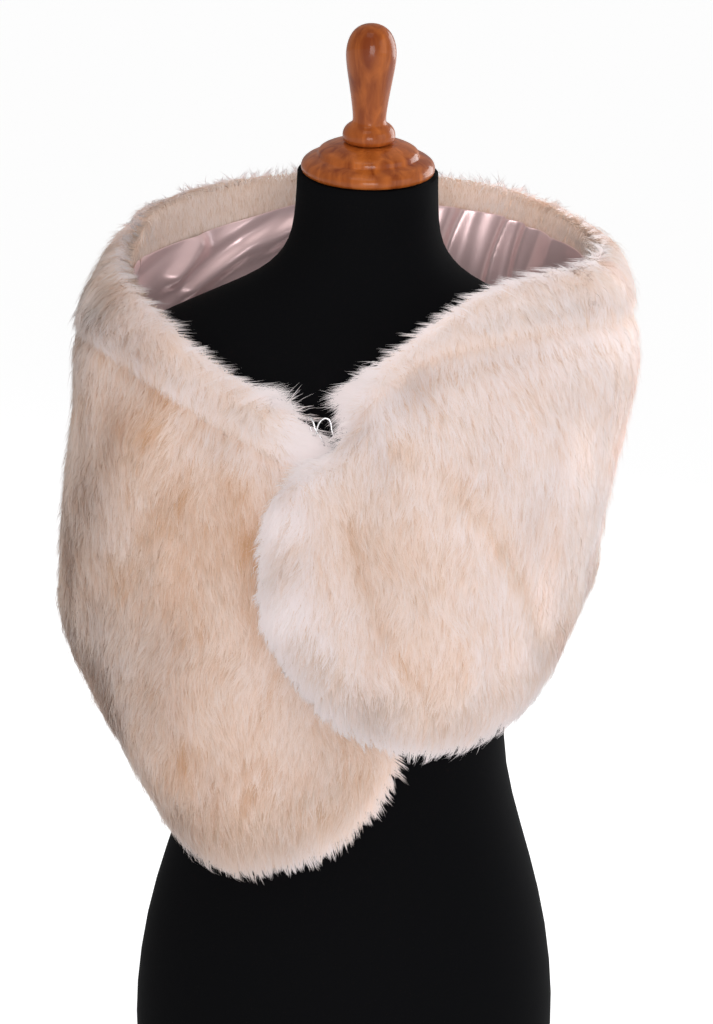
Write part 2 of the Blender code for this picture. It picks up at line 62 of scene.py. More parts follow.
scene = bpy.context.scene
print("loaded", len(nodes), "parts")

# %% [markdown]
# ## The camera
# A long lens stands level with the chest, a little above it, and leans slightly, so the figure's top
# tips to the right. From three metres away it keeps the near and far sides of the cape close in size.

# %% Camera
VIEW_RISE = math.radians(8)
VIEW_ROLL = math.radians(1.655)
VIEW_DISTANCE = 3.0
VIEW_TARGET = Vector((-0.0012, 0, 0.4632))
LENS = 135.2
SENSOR = 36


def linked(name, data):
    made = bpy.data.objects.new(name, data)
    scene.collection.objects.link(made)
    return made


back = Vector((0, -math.cos(VIEW_RISE), math.sin(VIEW_RISE)))
camera = linked("camera", bpy.data.cameras.new("camera"))
camera.data.lens = LENS
camera.data.sensor_width = SENSOR
camera.location = VIEW_TARGET + back * VIEW_DISTANCE
level = (-back).to_track_quat("-Z", "Y").to_matrix()
camera.rotation_euler = (level @ Matrix.Rotation(VIEW_ROLL, 3, "Z")).to_euler()
scene.camera = camera
scene.view_settings.view_transform = "Standard"
print("camera", VIEW_DISTANCE, "metres away")

# %% [markdown]
# ## The light
# The main soft lamp stands in front, near the lens, and lights the fur evenly. A cooler one at the
# right brightens that side, a weak one above touches the shoulders, and one behind at the right
# lights the far edge. A pale sky all round keeps the shade open.

# %% Lamps and sky
Lamp = namedtuple("Lamp", "name place aim size power colour")
LAMPS = (
    Lamp("right", (2.5, -1.5, 1.4), (0, 0, 0.45), 2.0, 15, (0.82, 0.92, 1.0)),
    Lamp("front", (0.25, -3.2, 0.7), (0, 0, 0.45), 1.3, 36, (0.97, 0.98, 1.0)),
    Lamp("above", (-0.3, -1.3, 2.9), (0, 0.05, 0.6), 1.2, 6, (1.0, 0.98, 0.96)),
    Lamp("behind", (1.9, 1.5, 1.3), (0, 0, 0.5), 1.6, 40, (1.0, 1.0, 1.0)),
)
SKY_STRENGTH = 0.42

for row in LAMPS:
    lamp = linked(row.name, bpy.data.lights.new(row.name, "AREA"))
    lamp.data.size = row.size
    lamp.data.energy = row.power
    lamp.data.color = row.colour
    lamp.location = row.place
    way = Vector(row.aim) - Vector(row.place)
    lamp.rotation_euler = way.to_track_quat("-Z", "Y").to_euler()

world = bpy.data.worlds.new("studio")
scene.world = world
world.use_nodes = True
sky = world.node_tree.nodes["Background"]
sky.inputs["Color"].default_value = (1, 1, 1, 1)
sky.inputs["Strength"].default_value = SKY_STRENGTH
print(len(LAMPS), "lamps")

# %% [markdown]
# ## The floor
# A wide pale disc runs off in every direction. It glows a little, so it comes out almost white in the
# picture, but it sends no light back up at the fur.

# %% Floor
FLOOR_RADIUS = 220
FLOOR_SIDES = 64
FLOOR_GLOW = 0.6


def principled(name, colour, roughness, **sockets):
    """A material with a plain shader; sockets are named with underscores for spaces."""
    material = bpy.data.materials.new(name)
    material.use_nodes = True
    shader = material.node_tree.nodes["Principled BSDF"]
    shader.inputs["Base Color"].default_value = (*colour, 1)
    shader.inputs["Roughness"].default_value = roughness
    for socket, value in sockets.items():
        shader.inputs[socket.replace("_", " ")].default_value = value
    return material


bm = bmesh.new()
bmesh.ops.create_circle(bm, cap_ends=True, segments=FLOOR_SIDES, radius=FLOOR_RADIUS)
floor_mesh = bpy.data.meshes.new("floor")
bm.to_mesh(floor_mesh)
bm.free()
floor = linked("floor", floor_mesh)
floor.data.materials.append(
    principled(
        "floor", (0.9, 0.9, 0.9), 0.9, Emission_Color=(1, 1, 1, 1), Emission_Strength=FLOOR_GLOW
    )
)
floor.visible_diffuse = False
print("floor reaches", FLOOR_RADIUS, "metres each way")

# %% [markdown]
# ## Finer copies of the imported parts
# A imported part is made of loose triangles. A copy has its points merged and its squares joined, and
# subdivision then rounds it. Edges that are meant to be crisp are marked first, so they stay.

# %% Copying and rounding
MERGE = 0.00002
JOIN_BEND = math.radians(40)
JOIN_SHAPE = math.radians(60)


def merged_copy(node):
    bm = bmesh.new()
    bm.from_mesh(nodes[node].data)
    bmesh.ops.remove_doubles(bm, verts=bm.verts, dist=MERGE)
    bmesh.ops.join_triangles(
        bm, faces=bm.faces, angle_face_threshold=JOIN_BEND, angle_shape_threshold=JOIN_SHAPE
    )
    return bm


def rounded(bm, name, rounds, crisp=math.pi):
    """A mesh made from bm by subdivision; edges bent more than crisp stay sharp."""
    mark = bm.edges.layers.float.new("crease_edge")
    for edge in bm.edges:
        if len(edge.link_faces) == 2 and edge.calc_face_angle() > crisp:
            edge[mark] = 1.0
    rough = bpy.data.meshes.new(name)
    bm.to_mesh(rough)
    bm.free()
    holder = linked(name, rough)
    finer = holder.modifiers.new("finer", "SUBSURF")
    finer.levels = rounds
    finer.render_levels = rounds
    shown = holder.evaluated_get(bpy.context.evaluated_depsgraph_get())
    mesh = bpy.data.meshes.new_from_object(shown)
    bpy.data.objects.remove(holder)
    bpy.data.meshes.remove(rough)
    mesh.name = name
    mesh.materials.clear()
    mesh.polygons.foreach_set("use_smooth", np.ones(len(mesh.polygons), bool))
    return mesh


def shown_piece(name, mesh, material, slot, *stands_for):
    """Puts a finished mesh in the scene on the part's one body."""
    piece = linked(name, mesh)
    mesh.materials.append(material)
    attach(piece, "root")
    if stands_for:
        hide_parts(*stands_for)
    return piece


print("points merge within", MERGE * 1000, "mm")

# %% [markdown]
# ## The dress form
# The torso wears one tight tube of black cotton jersey. It is nearly black, takes very little mirror
# light and shows no seam. Stitches this small need no shape: a very fine noise stands for them as a bump.

# %% Torso in black jersey
TORSO_CRISP = math.radians(45)
KNIT_SCALE = 900
KNIT_BUMP = 0.25
KNIT_DEPTH = 0.0004


def nodes_and_links(material):
    tree = material.node_tree
    return tree.nodes, tree.links, tree.nodes["Principled BSDF"]


jersey = principled("black_jersey", (0.0036, 0.0036, 0.0042), 0.85, Specular_IOR_Level=0.045)
made, links, shader = nodes_and_links(jersey)
where = made.new("ShaderNodeTexCoord")
knit = made.new("ShaderNodeTexNoise")
knit.inputs["Scale"].default_value = KNIT_SCALE
bump = made.new("ShaderNodeBump")
bump.inputs["Strength"].default_value = KNIT_BUMP
bump.inputs["Distance"].default_value = KNIT_DEPTH
links.new(where.outputs["Object"], knit.inputs["Vector"])
links.new(knit.outputs["Fac"], bump.inputs["Height"])
links.new(bump.outputs["Normal"], shader.inputs["Normal"])
torso_mesh = rounded(merged_copy("form_torso"), "torso", 1, TORSO_CRISP)
torso = shown_piece("torso", torso_mesh, jersey, "form_jersey", "form_torso")
print("torso", len(torso_mesh.polygons), "faces")

# %% [markdown]
# ## Streaks
# Wood grain and combed wool are both streaks: a noise that changes quickly across and slowly along.
# The two finishes share one node group, and each gives it its own stretch and its own two tones.

# %% Streak group
STREAK_SOCKETS = (
    ("Stretch", "NodeSocketVector"),
    ("Detail", "NodeSocketFloat"),
    ("Distortion", "NodeSocketFloat"),
)
streaks = bpy.data.node_groups.new("streaks", "ShaderNodeTree")
for name, kind in STREAK_SOCKETS:
    streaks.interface.new_socket(name, in_out="INPUT", socket_type=kind)
streaks.interface.new_socket("Streak", in_out="OUTPUT", socket_type="NodeSocketFloat")
given = streaks.nodes.new("NodeGroupInput")
where = streaks.nodes.new("ShaderNodeTexCoord")
along = streaks.nodes.new("ShaderNodeMapping")
noise = streaks.nodes.new("ShaderNodeTexNoise")
noise.inputs["Scale"].default_value = 1.0
result = streaks.nodes.new("NodeGroupOutput")
streaks.links.new(where.outputs["Object"], along.inputs["Vector"])
streaks.links.new(given.outputs["Stretch"], along.inputs["Scale"])
streaks.links.new(along.outputs["Vector"], noise.inputs["Vector"])
streaks.links.new(given.outputs["Detail"], noise.inputs["Detail"])
streaks.links.new(given.outputs["Distortion"], noise.inputs["Distortion"])
streaks.links.new(noise.outputs["Fac"], result.inputs["Streak"])


def toned(ramp, first, last, *between):
    """Gives a colour ramp its tones; each is a place on the ramp and a colour."""
    for stop, (place, colour) in zip(ramp.elements, (first, last)):
        stop.position = place
        stop.color = (*colour, 1)
    for place, colour in between:
        ramp.elements.new(place).color = (*colour, 1)


def streaked(material, stretch, detail, distortion, *tones):
    """Colours a material by streaks between two tones."""
    made, links, shader = nodes_and_links(material)
    streak = made.new("ShaderNodeGroup")
    streak.node_tree = streaks
    for (name, _), value in zip(STREAK_SOCKETS, (stretch, detail, distortion)):
        streak.inputs[name].default_value = value
    shades = made.new("ShaderNodeValToRGB")
    toned(shades.color_ramp, *tones)
    links.new(streak.outputs["Streak"], shades.inputs["Fac"])
    links.new(shades.outputs["Color"], shader.inputs["Base Color"])


print("streaks take", len(STREAK_SOCKETS), "values")

# %% [markdown]
# ## Turned wood
# The cap and its handle are turned from one pale hardwood, stained orange brown and lacquered. The
# grain runs up the handle, so its streaks are drawn out along that way. A thin clear coat carries the
# sharp lights.

# %% Cap and handle in lacquered wood
WOOD_CRISP = math.radians(75)
DARK_STAIN = (0.30, (0.24, 0.042, 0.005))
LIGHT_STAIN = (0.72, (0.60, 0.160, 0.028))

wood = principled(
    "lacquered_wood",
    (0.3, 0.09, 0.02),
    0.42,
    Specular_IOR_Level=0.1,
    Coat_Weight=0.35,
    Coat_Roughness=0.08,
)
streaked(wood, (95, 95, 9), 5, 0.6, DARK_STAIN, LIGHT_STAIN)
for node, name in (("neck_cap", "wood_cap"), ("cap_finial", "wood_handle")):
    mesh = rounded(merged_copy(node), name, 1, WOOD_CRISP)
    shown_piece(name, mesh, wood, "turned_wood", node)
    print(name, len(mesh.polygons), "faces")

# %% [markdown]
# ## Folds of the lining
# The lining is cut a little fuller than the fur, so it lies in soft folds. A cloth simulation could
# find folds by itself, but not the ones of this cape. So waves that run down and lean over make the
# small folds, and a few bent lines, drawn as the camera sees them, make the large creases.

# %% Ripples and creases
Ripple = namedtuple("Ripple", "waves right_lean left_lean height drift")
RIPPLES = (
    Ripple(12, 104, 36, 0.0020, 0.3),
    Ripple(25, 236, 92, 0.0014, 1.7),
    Ripple(43, 310, 60, 0.0008, 4.1),
)
RIPPLE_LEVEL = 0.62
RIPPLE_CREST = 1.5
SIDE_BLEND = 0.03
Crease = namedtuple("Crease", "x_a h_a x_b h_b x_c h_c width height fade")
CREASES = (
    Crease(-0.156, 0.642, -0.143, 0.660, -0.136, 0.673, 0.0065, 0.0080, 0.1),
    Crease(-0.142, 0.634, -0.124, 0.651, -0.098, 0.669, 0.0075, 0.0065, 0.0),
    Crease(-0.098, 0.669, -0.078, 0.679, -0.058, 0.690, 0.0085, 0.0065, 0.1),
    Crease(0.086, 0.712, 0.071, 0.688, 0.052, 0.610, 0.0060, 0.0065, 0.6),
    Crease(0.128, 0.714, 0.099, 0.678, 0.092, 0.575, 0.0042, 0.0060, 0.6),
    Crease(0.147, 0.714, 0.112, 0.672, 0.118, 0.575, 0.0040, 0.0055, 0.6),
)
CREASE_STEPS = 24
TINY = 1e-6


def front_view(points):
    """Places as the camera sees them from the front: to the right and up."""
    up = points[:, 1] * math.sin(VIEW_RISE) + points[:, 2] * math.cos(VIEW_RISE)
    return np.stack([points[:, 0], up], axis=1)


def off_line(seen, start, end):
    """The way from the nearest place of a straight line to each place."""
    run = end - start
    along = np.clip((seen - start) @ run / (run @ run), 0, 1)
    return seen - start - along[:, None] * run


def rippled(points):
    """How far the small folds stand up; they lean more on the wearer's right."""
    turn = np.arctan2(points[:, 0], -points[:, 1])
    leftness = 0.5 + 0.5 * np.tanh(points[:, 0] / SIDE_BLEND)
    rise = np.zeros(len(points))
    for row in RIPPLES:
        lean = row.right_lean + (row.left_lean - row.right_lean) * leftness
        wave = np.sin(row.waves * turn + lean * (points[:, 2] - RIPPLE_LEVEL) + row.drift)
        rise += row.height * (0.5 + 0.5 * wave) ** RIPPLE_CREST
    return rise


def creased(points):
    """How far the large creases of the lining stand up, behind the neck."""
    seen = front_view(points)
    rise = np.zeros(len(points))
    for row in CREASES:
        a, b, c = np.array(row[:6]).reshape(3, 2)
        for t in np.linspace(0, 1, CREASE_STEPS, endpoint=False):
            ends = [
                (1 - s) ** 2 * a + 2 * s * (1 - s) * b + s * s * c
                for s in (t, t + 1 / CREASE_STEPS)
            ]
            far = np.linalg.norm(off_line(seen, *ends), axis=1)
            height = row.height * min(1, (1 - t) / (row.fade + TINY))
            rise = np.maximum(rise, height * np.exp(-((far / row.width) ** 2)))
    return rise * (points[:, 1] > 0)


print(len(RIPPLES), "ripples and", len(CREASES), "creases")

# %% [markdown]
# ## Satin lining
# Satin has long floating threads, so it shines softly: a little metal in the shader gives its pink
# lights. Each fold moves both faces of the thin cloth together, and all folds die out where the cloth
# lies tight on the torso.

# %% Lining panels
TIGHT = 0.004
SLACK = 0.018
CLOTH = 0.0012
Lining = namedtuple("Lining", "node rounds cut area")
LININGS = (
    Lining("lining_right", 2, (0.34, 0.40), 0.105),
    Lining("lining_back", 3, (0.42, 0.36), 0.134),
    Lining("lining_left", 2, (0.28, 0.32), 0.082),
)


def vectors_of(mesh, what):
    flat = np.empty(len(mesh.vertices) * 3, np.float32)
    mesh.vertices.foreach_get(what, flat)
    return flat.reshape(-1, 3).astype(float)


def points_of(mesh):
    return vectors_of(mesh, "co")


def normals_of(mesh):
    return vectors_of(mesh, "normal")


def put_points(mesh, points):
    mesh.vertices.foreach_set("co", points.astype(np.float32).ravel())
    mesh.update()


torso_tree = BVHTree.FromPolygons(
    points_of(torso_mesh).tolist(), [tuple(face.vertices) for face in torso_mesh.polygons]
)


def slackness(points, radial):
    """From 0 where the cloth is tight on the torso to 1 where it hangs well clear of it."""
    room = np.full(len(points), SLACK)
    for i, (start, way) in enumerate(zip(points.tolist(), (-radial).tolist())):
        distance = torso_tree.ray_cast(start, way, SLACK)[3]
        if distance is not None:
            room[i] = distance
    part = np.clip((room - TIGHT) / (SLACK - TIGHT), 0, 1)
    return part * part * (3 - 2 * part)


satin = principled(
    "pink_satin",
    (0.93, 0.660, 0.650),
    0.30,
    Specular_IOR_Level=0.6,
    Metallic=0.35,
    Sheen_Weight=0.2,
    Sheen_Roughness=0.4,
)
for lining in LININGS:
    mesh = rounded(merged_copy(lining.node), "satin_" + lining.node[7:], lining.rounds)
    points = points_of(mesh)
    radial = points * (1, 1, 0)
    radial /= np.linalg.norm(radial, axis=1)[:, None]
    is_inner = (normals_of(mesh) * radial).sum(axis=1) < 0
    slack = slackness(points - radial * (CLOTH * ~is_inner)[:, None], radial)
    rise = rippled(points) + creased(points)
    put_points(mesh, points - radial * (rise * slack)[:, None])
    piece = shown_piece(mesh.name, mesh, satin, "satin_lining", lining.node)
    print(piece.name, len(mesh.polygons), "faces")

# %% [markdown]
# ## The fur panels
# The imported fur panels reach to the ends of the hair, so their outward faces say where hairs end. The
# table gives each panel its hairs to the square centimetre, how warm they are, and its cut.

# %% Surfaces of the hair ends
Panel = namedtuple("Panel", "node group density warm groove seam_tan cut area")
PANELS = (
    Panel("collar_right", "right", 78, 0.40, 0.006, 0, (0.20, 0.12), 0.014),
    Panel("collar_back", "all", 42, 0.40, 0.005, 0, (0.46, 0.09), 0.030),
    Panel("collar_left", "left", 78, 0.34, 0.003, 0, (0.17, 0.09), 0.010),
    Panel("front_right", "right", 68, 0.50, 0.006, 0.46, (0.36, 0.42), 0.095),
    Panel("back", "all", 27, 0.40, 0.005, 0.36, (0.44, 0.30), 0.110),
    Panel("front_left", "left", 70, 0.17, 0.002, 0.28, (0.32, 0.34), 0.072),
)
GROUPS = {
    "right": ("collar_right", "front_right", "back", "collar_back"),
    "left": ("collar_left", "front_left", "back", "collar_back"),
    "all": [panel.node for panel in PANELS],
}
OUTWARD = -0.3


def triangles_of(mesh):
    mesh.calc_loop_triangles()
    flat = np.empty(len(mesh.loop_triangles) * 3, np.int32)
    mesh.loop_triangles.foreach_get("vertices", flat)
    return flat.reshape(-1, 3)


def unit(vectors):
    return vectors / np.maximum(np.linalg.norm(vectors, axis=1), 1e-12)[:, None]


def crossed(corners):
    """Across each triangle's face; twice as long as the triangle's area."""
    return np.cross(corners[:, 1] - corners[:, 0], corners[:, 2] - corners[:, 0])


class Surface:
    """The hair ends' surface of one panel: its triangles, and which of them face outward."""

    def __init__(self, node):
        self.mesh = rounded(merged_copy(node), node + "_ends", 2)
        self.points = points_of(self.mesh)
        self.triangles = triangles_of(self.mesh)
        corners = self.points[self.triangles]
        across = crossed(corners)
        self.area = np.linalg.norm(across, axis=1) / 2
        self.middle = corners.mean(axis=1)
        self.facing = unit(across)
        radial = unit(self.middle * (1, 1, 0))
        self.outer = (self.facing * radial).sum(axis=1) > OUTWARD
        self.tree = BVHTree.FromPolygons(self.points.tolist(), self.triangles.tolist())


surfaces = {panel.node: Surface(panel.node) for panel in PANELS}
print("fur area", round(sum(s.area[s.outer].sum() for s in surfaces.values()), 3), "square metres")

# %% [markdown]
# ## How the fur lies
# Blurred cells round the panels tell, at any place, which way the fur faces and where the middle of
# the nearby fur lies. The way to that middle is nothing inside a panel and points inward near a free
# edge, so it finds hems and rims. The same cells of one panel alone find its seams too.

# %% Blurred cells
CELL = 0.006
CELL_MARGIN = 0.04
BLUR_ROUNDS = 9
BLUR = CELL * math.sqrt(BLUR_ROUNDS / 2)
EDGE_SPAN = 0.8 * BLUR


def sampled(grid, place):
    """Values of a grid at places counted in cells, blended between the cells round each."""
    low = np.clip(np.floor(place).astype(int), 0, np.array(grid.shape[:3]) - 2)
    part = np.clip(place - low, 0, 1)
    total = 0
    for corner in np.ndindex(2, 2, 2):
        weight = np.prod(np.where(corner, part, 1 - part), axis=1)
        cell = low + corner
        total = total + grid[cell[:, 0], cell[:, 1], cell[:, 2]] * weight[:, None]
    return total


class Field:
    """Blurred cells round the outward faces of some panels."""

    def __init__(self, names):
        chosen = [surfaces[name] for name in names]
        middle = np.concatenate([s.middle[s.outer] for s in chosen])
        facing = np.concatenate([s.facing[s.outer] for s in chosen])
        area = np.concatenate([s.area[s.outer] for s in chosen])
        self.origin = middle.min(axis=0) - CELL_MARGIN
        shape = np.ceil((middle.max(axis=0) + CELL_MARGIN - self.origin) / CELL).astype(int)
        grid = np.zeros((*shape, 7))
        cell = ((middle - self.origin) / CELL).astype(int)
        values = np.concatenate([np.ones((len(area), 1)), middle, facing], axis=1)
        np.add.at(grid, tuple(cell.T), values * area[:, None])
        for axis in range(3):
            for _ in range(BLUR_ROUNDS):
                grid = (np.roll(grid, 1, axis) + 2 * grid + np.roll(grid, -1, axis)) / 4
        self.grid = grid

    def at(self, points):
        """Outward normal, way toward the middle of the fur, nearness to a free edge, and dip."""
        found = sampled(self.grid, (points - self.origin) / CELL - 0.5)
        weight = np.maximum(found[:, :1], 1e-15)
        normal = unit(found[:, 4:])
        inward = found[:, 1:4] / weight - points
        dip = (inward * normal).sum(axis=1)
        inward -= normal * dip[:, None]
        size = np.linalg.norm(inward, axis=1)
        return normal, inward, np.clip(size / EDGE_SPAN, 0, 1), dip


fields = {name: Field(names) for name, names in GROUPS.items()}
own_fields = {panel.node: Field([panel.node]) for panel in PANELS}
print(len(fields) + len(own_fields), "sets of cells")

# %% [markdown]
# ## The undercoat
# Under the long hair lies a short dense wool on the backing cloth. It is the panel drawn in by about a
# quarter of the depth of the pile, closed up at the side seams and drawn back from every free edge, so
# that only hair ends reach the edge. It is a pale tan, broken by fine upright streaks, so a gap between
# hairs shows more wool and not a hole.

# %% Undercoat shells
UNDER_SHARE = 0.24
UNDER_DEEPEST = 0.0055
EDGE_PULL = 1.25
SEAM_CLOSE = 0.0015
LEAST_DEPTH = 0.002
LOOK_IN = 0.0004
LOOK_FAR = 0.05

wool = principled("undercoat_wool", (0.62, 0.44, 0.29), 0.9, Sheen_Weight=0.2)
streaked(wool, (420, 420, 60), 3, 0, (0.35, (0.72, 0.56, 0.46)), (0.68, (0.86, 0.72, 0.64)))


def pile_depth(surface, points, normals):
    """How deep the fur is under each place, down to the backing."""
    depth = np.full(len(points), LEAST_DEPTH)
    starts = (points - normals * LOOK_IN).tolist()
    ways = (-normals).tolist()
    for i, (start, way) in enumerate(zip(starts, ways)):
        distance = surface.tree.ray_cast(start, way, LOOK_FAR)[3]
        if distance is not None:
            depth[i] = distance
    return depth


def side_seam(apart):
    """Level way from a side seam back into the panel, and nearness to that seam."""
    level = apart * (1, 1, 0)
    return unit(level), np.clip(np.linalg.norm(level, axis=1) / EDGE_SPAN, 0, 1)


for panel in PANELS:
    mesh = rounded(merged_copy(panel.node), "undercoat_" + panel.node, 1)
    points = points_of(mesh)
    outward, inward, rim, _ = fields[panel.group].at(points)
    _, own_inward, own_rim, _ = own_fields[panel.node].at(points)
    is_outer = (normals_of(mesh) * unit(points * (1, 1, 0))).sum(axis=1) > OUTWARD
    depth = UNDER_SHARE * pile_depth(surfaces[panel.node], points, outward)
    depth = np.minimum(depth, UNDER_DEEPEST)
    seam = np.clip(own_rim - rim, 0, 1)
    depth += panel.groove * seam * np.abs(unit(own_inward)[:, 2])
    points = points - outward * (depth * is_outer)[:, None] + inward * EDGE_PULL
    sideways, beside = side_seam(own_inward - inward)
    points -= sideways * (SEAM_CLOSE * beside)[:, None]
    put_points(mesh, points)
    shown_piece(mesh.name, mesh, wool, "fur", panel.node)
    one_side = np.linalg.norm(crossed(points[triangles_of(mesh)]), axis=1).sum() / 4
    print(mesh.name, len(mesh.polygons), "faces", round(one_side, 4), "square metres a side")

# %% [markdown]
# ## Partings
# The fur is combed downward, but it parts at worn lines: the hair turns away on both sides, shows
# more of its tan, and catches the light as two slopes. The lines are drawn as the camera sees them.
# The tan line along the tongue's edge on the wearer's right front is partly painted shade: it stands
# for the tongue's shadow there as well as for the roots that the edge bares.

# %% Lines where the fur parts
Parting = namedtuple("Parting", "node x_a h_a x_b h_b reach turn tan ridge")
PARTINGS = (
    Parting("front_left", -0.004, 0.440, 0.021, 0.363, 0.006, 14, 0.17, 0.0),
    Parting("front_left", 0.021, 0.363, 0.053, 0.321, 0.006, 10, 0.15, 0.0),
    Parting("front_left", 0.004, 0.450, 0.050, 0.335, 0.044, 0, 0.25, 0.0),
    Parting("front_left", 0.068, 0.472, 0.108, 0.426, 0.007, 14, 0.26, 0.7),
    Parting("front_left", 0.108, 0.426, 0.140, 0.360, 0.007, 12, 0.26, 0.7),
    Parting("front_left", 0.026, 0.497, 0.038, 0.488, 0.007, 14, 0.28, 0.4),
    Parting("front_right", -0.145, 0.541, -0.170, 0.503, 0.011, 14, 0.26, 0.3),
    Parting("front_right", -0.143, 0.456, -0.157, 0.426, 0.011, 14, 0.24, 0.4),
    Parting("front_right", -0.176, 0.404, -0.182, 0.388, 0.012, 10, 0.20, 0.3),
    Parting("front_right", -0.124, 0.269, -0.129, 0.246, 0.011, 10, 0.20, 0.3),
    Parting("front_right", -0.100, 0.330, -0.112, 0.314, 0.016, 8, 0.16, 0.2),
    Parting("front_right", -0.102, 0.478, -0.088, 0.462, 0.010, 18, 0.26, 0.3),
    # Painted shade: this tan line beside the tongue's edge also stands for the tongue's shadow on this
    # panel.
    Parting("front_right", -0.079, 0.430, -0.068, 0.355, 0.012, 0, 0.24, 0.0),
    Parting("front_right", -0.150, 0.520, -0.110, 0.400, 0.050, 0, 0.10, 0.0),
    Parting("front_right", -0.186, 0.495, -0.188, 0.425, 0.014, 8, 0.04, 0.6),
)


def parted(node, points):
    """Turn of the hair, warmth of its colour and tilt of its light from the partings of one panel;
    beside the tongue's edge the warmth is partly painted shade.
    """
    turn = np.zeros(len(points))
    tan = np.zeros(len(points))
    tilt = np.zeros_like(points)
    seen = front_view(points)
    for row in PARTINGS:
        if row.node != node:
            continue
        start = np.array((row.x_a, row.h_a))
        end = np.array((row.x_b, row.h_b))
        off = off_line(seen, start, end)
        run = end - start
        far = np.linalg.norm(off, axis=1)
        side = off[:, 0] * run[1] - off[:, 1] * run[0]
        side = np.tanh(side / (np.linalg.norm(run) * row.reach))
        near = np.exp(-((far / row.reach) ** 2)) * (points[:, 1] < 0)
        wide = np.exp(-((far / (2 * row.reach)) ** 2)) * (points[:, 1] < 0)
        turn += side * math.radians(row.turn) * wide
        tan += row.tan * near
        away = off * (row.ridge * wide / (far + row.reach))[:, None]
        tilt[:, 0] += away[:, 0]
        tilt[:, 2] += away[:, 1]
    return turn, tan, tilt


print(len(PARTINGS), "partings")

# %% [markdown]
# ## Fluffy corners
# Where the collar's ends meet at the clasp and along the tongue's edge, longer hair sticks out in
# wisps. Each row adds hairs near one place and gives their ends a way to stray.

# %% Wisps
Wisp = namedtuple("Wisp", "node x h reach way_x way_h length more")
WISPS = (
    Wisp("collar_right", -0.062, 0.538, 0.011, 0.35, 0.85, 0.015, 500),
    Wisp("collar_right", -0.042, 0.510, 0.008, 0.98, -0.15, 0.018, 1000),
    Wisp("collar_right", -0.042, 0.500, 0.011, 0.95, -0.25, 0.022, 1300),
    Wisp("collar_left", -0.016, 0.543, 0.013, -0.85, 0.45, 0.019, 900),
    Wisp("collar_left", -0.002, 0.560, 0.010, -0.45, 0.85, 0.013, 250),
    Wisp("front_left", -0.038, 0.480, 0.013, -0.60, 0.60, 0.008, 500),
    Wisp("front_left", -0.055, 0.440, 0.016, -0.90, 0.10, 0.008, 0),
    Wisp("front_left", -0.050, 0.372, 0.016, -0.85, -0.40, 0.008, 0),
)
WISP_SCATTER = 0.0008
WISP_FORWARD = -0.2
WISP_SPREAD = 0.25
WISP_SHARES = (0.3, 1.0)


def near_wisp(row, points):
    """From 1 in the middle of a fluffy corner down to 0 away from it."""
    off = np.linalg.norm(front_view(points) - (row.x, row.h), axis=1)
    return np.exp(-((off / row.reach) ** 2)) * (points[:, 1] < 0)


def thickened(node, points, rng):
    """The places of the hairs with more of them at the fluffy corners of one panel."""
    places = [points]
    for row in WISPS:
        if row.node == node:
            near = near_wisp(row, points)
            chosen = rng.choice(len(points), row.more, p=near / near.sum())
            places.append(points[chosen] + rng.normal(0, WISP_SCATTER, (row.more, 3)))
    return np.concatenate(places)


def wispy(node, points, rng):
    """How far the hair ends stray at the fluffy corners of one panel, and how strongly."""
    stray = np.zeros_like(points)
    strength = np.zeros(len(points))
    for row in WISPS:
        if row.node != node:
            continue
        near = near_wisp(row, points)
        way = np.array((row.way_x, WISP_FORWARD, row.way_h))
        way = way + rng.normal(0, WISP_SPREAD, points.shape)
        stray += way * (row.length * near * rng.uniform(*WISP_SHARES, len(points)))[:, None]
        strength += near
    return stray, np.clip(strength, 0, 1)


print(len(WISPS), "wisps")

# %% [markdown]
# ## Planting the hair
# Hairs are spread over a panel by area, and each is planted where its end will lie. Those that another
# panel covers are mostly left out. Neighbours share a tuft, so that they can lean and gather together.

# %% Places of the hair ends
PER_CM2 = 1e4
CLUMP_HAIRS = 12
HIDDEN_SHARE = 0.12
COVER_START = 0.001
COVER_REACH = 0.04
COVER_TILTS = (-0.7, 0.0, 0.7)


def spread_over(surface, faces, count, rng):
    """Places spread evenly over some faces, with the faces' numbers."""
    chances = surface.area[faces] / surface.area[faces].sum()
    chosen = faces[rng.choice(len(faces), count, p=chances)]
    picked = surface.triangles[chosen]
    a, b = rng.random((2, count))
    over = a + b > 1
    a = np.where(over, 1 - a, a)
    b = np.where(over, 1 - b, b)
    shares = np.stack([1 - a - b, a, b], axis=1)[:, :, None]
    return (surface.points[picked] * shares).sum(axis=1), chosen


def covered(points, normals, tree):
    """Places that another panel lies on."""
    starts = (points + normals * COVER_START).tolist()
    hits = np.ones(len(points), bool)
    for tilt in COVER_TILTS:
        ways = unit(normals + np.array((0, 0, tilt))).tolist()
        hits &= [tree.ray_cast(s, w, COVER_REACH)[0] is not None for s, w in zip(starts, ways)]
    return hits


def tufts(points, rng):
    """For each hair, the number of the tuft it belongs to and the tufts' places."""
    count = max(1, len(points) // CLUMP_HAIRS)
    centres = points[rng.choice(len(points), count, replace=False)]
    tree = KDTree(count)
    for i, centre in enumerate(centres.tolist()):
        tree.insert(centre, i)
    tree.balance()
    return np.array([tree.find(point)[1] for point in points.tolist()]), centres


